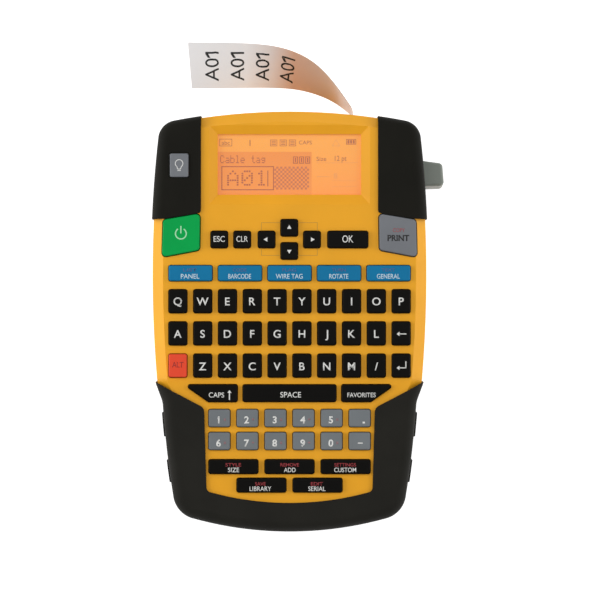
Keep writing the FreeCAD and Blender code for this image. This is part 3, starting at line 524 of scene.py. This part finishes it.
# Triangles on the arrow keys: key, centre, and the turn from pointing up, in degrees.
TRIANGLES = (("left", (-9.6, 33.4), 90), ("right", (9.3, 33.4), -90), ("up", (-0.1, 38.3), 0),
             ("down", (-0.1, 28.6), 180))
TRIANGLE_RADIUS = 1.05


def word_legends():
    for node, words, centre, cap, width in WORDS:
        mesh = bmesh.new()
        write(mesh, words, centre, cap, width)
        finish_piece(f"{node}_word", mesh, INK_WHITE, f"{node}_body")
    for node, words, centre, width in SECOND_WORDS:
        mesh = bmesh.new()
        write(mesh, words, centre, SECOND_CAP, width)
        finish_piece(f"{node}_second_word", mesh, INK_RED, f"{node}_body")
    caps = bmesh.new()
    write(caps, *CAPS_WORD)
    arrow(caps, *CAPS_ARROW)
    finish_piece("caps_key_word", caps, INK_WHITE, "caps_key_body")
    alt = bmesh.new()
    write(alt, *ALT_WORD)
    finish_piece("alt_key_word", alt, printed("ink_dark_red", "a82a20"), "alt_key_body")


def function_legends():
    faint = printed("ink_dull_violet", "4d5f94")
    for i, (words, width, second_words) in enumerate(FUNCTION_WORDS):
        u = (i - 2) * FUNCTION_PITCH + FUNCTION_SHIFT
        body = f"function_key_{i + 1}_body"
        mesh = bmesh.new()
        write(mesh, words, (u, FUNCTION_V), FUNCTION_CAP, width)
        finish_piece(f"function_key_{i + 1}_word", mesh, INK_PALE, body)
        second = bmesh.new()
        write(second, second_words, (u, FAINT_V), FAINT_CAP, FAINT_WIDTH)
        finish_piece(f"function_key_{i + 1}_second_word", second, faint, body)


def arrow_keys():
    """Small triangles on the four arrow keys."""
    for name, centre, turn in TRIANGLES:
        mesh = bmesh.new()
        angles = [math.radians(a + turn) for a in (90, 210, 330)]
        corners = [(centre[0] + TRIANGLE_RADIUS * math.cos(a), centre[1] + TRIANGLE_RADIUS * math.sin(a))
                   for a in angles]
        prism(mesh, corners, *KEY_INK)
        finish_piece(f"{name}_key_arrow", mesh, INK_WHITE, f"{name}_key_body")


POWER_AT = (-44.5, 35.8)
POWER_RADIUS = 2.2
POWER_LINE = 0.5
POWER_SWEEP = (122, 418)
POWER_STEM = (38.7, 36.1)
PRINT_WORD = ("PRINT", (44.6, 34.0), 2.3, 8.9)
COPY_WORD = ("COPY", (44.8, 37.2), 1.5, 4.9)
BULB_AT = (-45.2, 64.5)
BULB_RADIUS = 1.55
BULB_LINE = 0.3
BULB_SWEEP = (-52, 232)
BULB_NECK = ((0.95, -1.2), (0.6, -2.2))
BULB_CAP_DROPS = (2.3, 2.9)
BULB_CAP_HALF, BULB_CAP_LINE = 0.55, 0.28
ARROW_FRAME = (-11.5, 11.4, 26.9, 40.3)
ARROW_FRAME_LINE = 0.16


def corner_key_legends():
    """The power symbol and the print key's words."""
    ink = (CORNER_KEY_TOP, CORNER_KEY_TOP + INK)
    power = bmesh.new()
    bow(power, POWER_AT, POWER_RADIUS, POWER_LINE, POWER_SWEEP, *ink)
    high, low = [(POWER_AT[0], v) for v in POWER_STEM]
    stroke(power, high, low, POWER_LINE, *ink)
    finish_piece("power_key_symbol", power, printed("ink_mint", "a9e8b9"), "power_key_body")
    word = bmesh.new()
    write(word, *PRINT_WORD, CORNER_KEY_TOP, HEAVY_BOLD)
    finish_piece("print_key_word", word, INK_BLACK, "print_key_body")
    second = bmesh.new()
    write(second, *COPY_WORD, CORNER_KEY_TOP)
    finish_piece("print_key_second_word", second, printed("ink_brick", "9c4a4e"), "print_key_body")


def bulb_symbol():
    """The backlight key's bulb: a round glass, its neck and two lines of its cap."""
    ink = (LIGHT_KEY_TOP, LIGHT_KEY_TOP + INK)
    bulb = bmesh.new()
    u, v = BULB_AT
    bow(bulb, BULB_AT, BULB_RADIUS, BULB_LINE, BULB_SWEEP, *ink)
    for side in (-1, 1):
        high, low = [(u + side * du, v + dv) for du, dv in BULB_NECK]
        stroke(bulb, high, low, BULB_LINE, *ink)
    for drop in BULB_CAP_DROPS:
        stroke(bulb, (u - BULB_CAP_HALF, v - drop), (u + BULB_CAP_HALF, v - drop), BULB_CAP_LINE, *ink)
    finish_piece("backlight_key_symbol", bulb, INK_WHITE, "backlight_key_body")


def face_marks():
    """The thin frame round the arrow keys."""
    mesh = bmesh.new()
    frame_line(mesh, *ARROW_FRAME, ARROW_FRAME_LINE, 0.0, INK)
    finish_piece("arrow_frame_line", mesh, INK_LINE, "base")


# ---- the back ------------------------------------------------------------------------------------
DOOR_FACE = 0.3          # z of the doors' outer faces
BACK = Matrix.Translation((0, 0, DOOR_FACE * MM)) @ Matrix.Rotation(math.pi, 4, "Y") @ Matrix.Scale(MM, 4)
# The middles of each door's ribs and of its word, in y.
DOORS = (("battery_door", (-21.0, -18.4, -15.8), -12.0), ("cassette_door", (59.0, 61.6, 64.2), 55.5))
RIB_HALF_LONG, RIB_HALF_WIDE = 14.0, 0.5
RIB_RISE = 0.22
PLATE = (-26.0, 26.0, -56.0, -32.0)
PLATE_RISE = 0.06
# Words on the rating plate: words, y, height of capitals, width.
PLATE_WORDS = (("LABEL MAKER", -36.5, 2.6, 24.0), ("6 x AA  1.5 V", -42.5, 2.0, 20.0),
               ("TAPE 19 mm MAX", -47.0, 2.0, 24.0), ("9 V DC  0.8 A", -51.5, 2.0, 20.0))
OPEN_CAP, OPEN_WIDTH = 2.0, 9.0


def back_details():
    """Grip ribs and a word by the doors' notches, and a rating plate with plain words."""
    for name, ys, _word_y in DOORS:
        ribs = bmesh.new()
        for y in ys:
            bar(ribs, -RIB_HALF_LONG, RIB_HALF_LONG, y - RIB_HALF_WIDE, y + RIB_HALF_WIDE, 0.0, RIB_RISE)
        finish_piece(f"{name}_ribs", ribs, YELLOW, f"{name}_body", BACK)
    plate = bmesh.new()
    bar(plate, *PLATE, 0.0, PLATE_RISE)
    silver = moulded("silver_plate", "b9bbbd", 0.35, grain=900.0)
    finish_piece("rating_plate", plate, silver, "battery_door_body", BACK)
    words = bmesh.new()
    for text, y, cap, width in PLATE_WORDS:
        write(words, text, (0.0, y), cap, width, PLATE_RISE)
    finish_piece("rating_plate_words", words, INK_BLACK, "battery_door_body", BACK)
    for name, _ys, word_y in DOORS:
        mesh = bmesh.new()
        write(mesh, "OPEN", (0.0, word_y), OPEN_CAP, OPEN_WIDTH, 0.0)
        finish_piece(f"{name}_word", mesh, INK_LINE, f"{name}_body", BACK)


# ---- what the display shows ----------------------------------------------------------------------
# Letters of a text display, five dots by seven rows: one number for each row, its highest bit on the left.
DOT_LETTERS = {
    "A": (4, 10, 17, 17, 31, 17, 17), "0": (14, 17, 19, 21, 25, 17, 14), "1": (4, 12, 4, 4, 4, 4, 14),
    "C": (14, 17, 16, 16, 16, 17, 14), "a": (0, 0, 14, 1, 15, 17, 15), "b": (16, 16, 30, 17, 17, 17, 30),
    "l": (12, 4, 4, 4, 4, 4, 14), "e": (0, 0, 14, 17, 31, 16, 14), "t": (4, 4, 14, 4, 4, 4, 3),
    "g": (0, 0, 15, 17, 15, 1, 14), " ": (0, 0, 0, 0, 0, 0, 0),
}
DOT_COLUMNS = 5
DOT_STEP = 6             # columns from one letter to the next
FIELD = (-29.4, 9.1, 51.9, 69.5)
FIELD_RISE = 0.015
MARK = (DISPLAY_TOP + 0.02, DISPLAY_TOP + 0.08)
DOT_MARK = (DISPLAY_TOP + 0.04, DISPLAY_TOP + 0.08)
WORD_W = DISPLAY_TOP + 0.03
# Dotted words: words, left, top, pitch across, pitch down, and how much of the pitch a dot fills.
DOTTED = (("Cable tag", -28.5, 68.0, 0.35, 0.46, 0.84), ("A01", -25.6, 61.8, 0.98, 0.92, 0.72))
TEXT_BOX = (-27.8, -6.6, 53.9, 63.4, 0.35)
CURSOR = (-9.1, -8.75, 55.3, 61.8)
BLOCKS_U, BLOCK_PITCH, BLOCK_COUNT = 1.6, 2.5, 3
HATCH_AT, HATCH_SIZE = (-6.3, 54.0), (14.3, 9.4)
HATCH_COLUMNS, HATCH_ROWS = 17, 11
# Words and boxes along the top and to the right.
ICON_WORDS = (("abc", (-26.2, 73.2), 1.7, 3.3), ("CAPS", (6.5, 73.3), 1.5, 5.3),
              ("Size", (13.1, 66.6), 1.7, 4.0), ("12 pt", (21.0, 66.8), 2.1, 4.8))
ABC_BOX = (-28.7, -23.7, 71.9, 74.7, 0.2)
TICK = (-16.4, -16.05, 71.9, 74.4)
PAGE_ICONS_U = (-7.8, -3.9, -0.1)
BATTERY_BOX = (23.4, 27.2, 72.6, 74.6, 0.25)
BATTERY_CELLS_U, BATTERY_PITCH = 23.8, 1.1
TRIANGLE_CORNERS = ((17.6, 71.9), (20.6, 71.9), (19.1, 74.6))
TRIANGLE_LINE = 0.18
FAINT_BARS = ((11.0, 28.0, 64.9, 65.05), (11.1, 16.4, 59.2, 59.4))
FAINT_LINES_V = (57.6, 55.2)


def dotted(mesh, words, left, top, across, down, fill):
    """Words in square dots."""
    for place, letter in enumerate(words):
        for row, bits in enumerate(DOT_LETTERS[letter]):
            for column in range(DOT_COLUMNS):
                if bits & (1 << (DOT_COLUMNS - 1 - column)):
                    u = left + (place * DOT_STEP + column) * across
                    v = top - row * down
                    bar(mesh, u, u + across * fill, v - down * fill, v, *DOT_MARK)


def display_text():
    field = bmesh.new()
    bar(field, *FIELD, DISPLAY_TOP, DISPLAY_TOP + FIELD_RISE)
    amber = glowing("amber_field", "ea8c30", "e4842c")
    finish_piece("display_text_field", field, amber, "base")
    dark = bmesh.new()
    for words in DOTTED:
        dotted(dark, *words)
    frame_line(dark, *TEXT_BOX, *MARK)
    bar(dark, *CURSOR, *MARK)
    for i in range(BLOCK_COUNT):
        u = BLOCKS_U + i * BLOCK_PITCH
        frame_line(dark, u, u + 1.7, 64.8, 67.4, 0.3, *MARK)
        bar(dark, u + 0.6, u + 1.1, 65.2, 67.0, *MARK)
    finish_piece("display_text", dark, glowing("amber_dark", "a8502a", "b05628"), "base")


def display_hatch():
    """The checked part of the line of text, after what is typed."""
    hatch = bmesh.new()
    step_u, step_v = HATCH_SIZE[0] / HATCH_COLUMNS, HATCH_SIZE[1] / HATCH_ROWS
    for r in range(HATCH_ROWS):
        for c in range(HATCH_COLUMNS):
            if (r + c) % 2:
                u, v = HATCH_AT[0] + c * step_u, HATCH_AT[1] + r * step_v
                bar(hatch, u, u + step_u, v, v + step_v, *MARK)
    finish_piece("display_hatch", hatch, glowing("amber_hatch", "c2683a", "c66c38"), "base")


def display_icons():
    icons = bmesh.new()
    frame_line(icons, *ABC_BOX, *MARK)
    bar(icons, *TICK, *MARK)
    for u in PAGE_ICONS_U:
        frame_line(icons, u, u + 2.6, 71.9, 74.4, 0.2, *MARK)
        for k in range(3):
            bar(icons, u + 0.4, u + 2.2, 72.3 + k * 0.7, 72.6 + k * 0.7, *MARK)
    frame_line(icons, *BATTERY_BOX, *MARK)
    for i in range(3):
        u = BATTERY_CELLS_U + i * BATTERY_PITCH
        bar(icons, u, u + 0.8, 72.9, 74.3, *MARK)
    for words, centre, cap, width in ICON_WORDS:
        write(icons, words, centre, cap, width, WORD_W, 0.0)
    finish_piece("display_icons", icons, glowing("amber_icons", "a8582c", "b06030"), "base")


def display_faint_marks():
    """Segments of the display that are off and only just show."""
    faint = bmesh.new()
    for i, corner in enumerate(TRIANGLE_CORNERS):
        stroke(faint, corner, TRIANGLE_CORNERS[(i + 1) % 3], TRIANGLE_LINE, *MARK)
    for edges in FAINT_BARS:
        bar(faint, *edges, *MARK)
    write(faint, "8", (18.9, 59.6), 2.2, 1.5, WORD_W, 0.0)
    for v in FAINT_LINES_V:
        bar(faint, 17.6, 27.6, v, v + 0.12, *MARK)
    finish_piece("display_faint_marks", faint, glowing("amber_faint", "df8f48", "e2964c"), "base")


# ---- the label -----------------------------------------------------------------------------------
LABEL_TEXT_U = (-32.2, -21.7, -11.3, -1.0)
LABEL_CAP = 5.5
LABEL_TEXT_LONG = 12.2
LABEL_WIDE = 19.0
LABEL_V = (84, 117)      # whole millimetres of v between which the label lies
RAYS_PER_MM = 4
RAY_START = 40.0         # w above the label
NUDGES = (0.0, 0.03, -0.03, 0.3, -0.3)
TEXT_GAP = 0.012         # between the label and the ink
TEXT_DROP = 0.4
TEXT_LEAN = 0.10         # how the last codes lean, where the label turns down
LEAN_FROM, LEAN_OVER = -14, 13
LONGEST_EDGE = 1.2
EDGE_CUTS = 3


def label_finder():
    """A function that gives the spot of the label, and its normal, under a point of the face frame."""
    strip = BVHTree.FromObject(NODES["label_strip"], bpy.context.evaluated_depsgraph_get())
    down = (FACE.to_3x3() @ Vector((0, 0, -1))).normalized()

    def touch(u, v):
        for nudge in NUDGES:
            spot, normal = strip.ray_cast(FACE @ Vector((u + nudge, v + nudge / 3, RAY_START)), down)[0:2]
            if spot is not None:
                return spot, -normal if normal.dot(down) > 0 else normal
        return None, None

    return touch


def label_limits(touch, u):
    """The lowest and highest v of the label at u."""
    rows = range(RAYS_PER_MM * LABEL_V[0], RAYS_PER_MM * LABEL_V[1])
    hits = [row / RAYS_PER_MM for row in rows if touch(u, row / RAYS_PER_MM)[0] is not None]
    return min(hits), max(hits)


def lay_on_label(single, middle, touch):
    """Bends a code that is drawn flat round the origin onto the label, centred on u = middle."""
    limits = {}
    lean = TEXT_LEAN * max(0.0, (middle - LEAN_FROM) / LEAN_OVER)
    for point in single.verts:
        u = middle + point.co.x + lean * point.co.y
        column = round(u, 1)
        if column not in limits:
            limits[column] = label_limits(touch, column)
        low, high = limits[column]
        v = (low + high) / 2 - TEXT_DROP + point.co.y * (high - low) / LABEL_WIDE
        spot, normal = touch(u, v)
        point.co = FACE.inverted() @ (spot + normal * (TEXT_GAP + point.co.z) * MM)


def label_text():
    """Four printed codes that follow the label's curl. They read upwards, with their tops to the left."""
    touch = label_finder()
    mesh = bmesh.new()
    for middle in LABEL_TEXT_U:
        single = bmesh.new()
        write(single, "A01", (0, 0), LABEL_CAP, LABEL_TEXT_LONG, 0.0, 0.0, math.pi / 2)
        long_edges = [e for e in single.edges if e.calc_length() > LONGEST_EDGE]
        bmesh.ops.subdivide_edges(single, edges=long_edges, cuts=EDGE_CUTS)
        lay_on_label(single, middle, touch)
        join(mesh, single)
    finish_piece("label_text", mesh, INK_BLACK, "label")


# ---- stage, light and camera ---------------------------------------------------------------------
CAMERA_AWAY = 1400.0
VIEW_WIDE = 246.0
VIEW_CENTRE = (4.3, 8.6)
SENSOR = 36.0
CLIP = (0.05, 20.0)      # metres
FLOOR_DROP = 0.0003      # metres, so that the floor and the back aren't in one plane
FLOOR_HALF = 4.0         # metres
FLOOR_SCALE = 3.0
FLOOR_GLOW = 1.25
FLOOR_ROUGH = 0.6
WORLD_LIGHT = 0.42
LIGHT_TARGET = (0, 0, 0.02)
# Softboxes: name, place and size in metres, power in watts.
SOFTBOXES = (
    ("left_softbox", (-1.1, 0.1, 0.5), (0.8, 0.8), 7.5),
    ("right_softbox", (1.1, 0.1, 0.5), (0.8, 0.8), 4.9),
    ("top_softbox", (0.0, 0.5, 1.6), (1.2, 0.8), 5.5),
)


def floor():
    made, tree, shader = start_material("pale_floor")
    colour = ramp(tree, noise(tree, FLOOR_SCALE), [(0.3, srgb("d2d2d2")), (0.7, srgb("d6d6d6"))])
    tree.links.new(colour, shader.inputs["Base Color"])
    tree.links.new(colour, shader.inputs["Emission Color"])
    shader.inputs["Emission Strength"].default_value = FLOOR_GLOW
    shader.inputs["Roughness"].default_value = FLOOR_ROUGH
    mesh = bmesh.new()
    bmesh.ops.create_grid(mesh, x_segments=8, y_segments=8, size=FLOOR_HALF)
    data = bpy.data.meshes.new("floor")
    mesh.to_mesh(data)
    mesh.free()
    data.materials.append(made)
    piece = bpy.data.objects.new("floor", data)
    piece.location.z = -FLOOR_DROP
    bpy.context.scene.collection.objects.link(piece)


def area_light(name, place, size, power):
    data = bpy.data.lights.new(name, "AREA")
    data.shape = "RECTANGLE"
    data.size, data.size_y = size
    data.energy = power
    lamp = bpy.data.objects.new(name, data)
    lamp.location = place
    lamp.rotation_mode = "QUATERNION"
    lamp.rotation_quaternion = (Vector(LIGHT_TARGET) - Vector(place)).to_track_quat("-Z", "Y")
    bpy.context.scene.collection.objects.link(lamp)


def light():
    world = bpy.data.worlds.new("studio")
    world.use_nodes = True
    world.node_tree.nodes["Background"].inputs["Color"].default_value = (1.0, 1.0, 1.0, 1.0)
    world.node_tree.nodes["Background"].inputs["Strength"].default_value = WORLD_LIGHT
    bpy.context.scene.world = world
    for softbox in SOFTBOXES:
        area_light(*softbox)
    bpy.context.scene.view_settings.view_transform = "Standard"


def camera():
    data = bpy.data.cameras.new("camera")
    data.sensor_width = SENSOR
    data.lens = SENSOR * CAMERA_AWAY / VIEW_WIDE
    data.clip_start, data.clip_end = CLIP
    eye = bpy.data.objects.new("camera", data)
    turn = Matrix.Rotation(FACE_TILT, 4, "X")
    eye.matrix_world = Matrix.Translation(FACE @ Vector((*VIEW_CENTRE, CAMERA_AWAY))) @ turn
    bpy.context.scene.collection.objects.link(eye)
    bpy.context.scene.camera = eye


dress_nodes()
letter_legends()
number_legends()
word_legends()
function_legends()
arrow_keys()
corner_key_legends()
bulb_symbol()
face_marks()
display_text()
display_hatch()
display_icons()
display_faint_marks()
back_details()
label_text()
floor()
light()
camera()
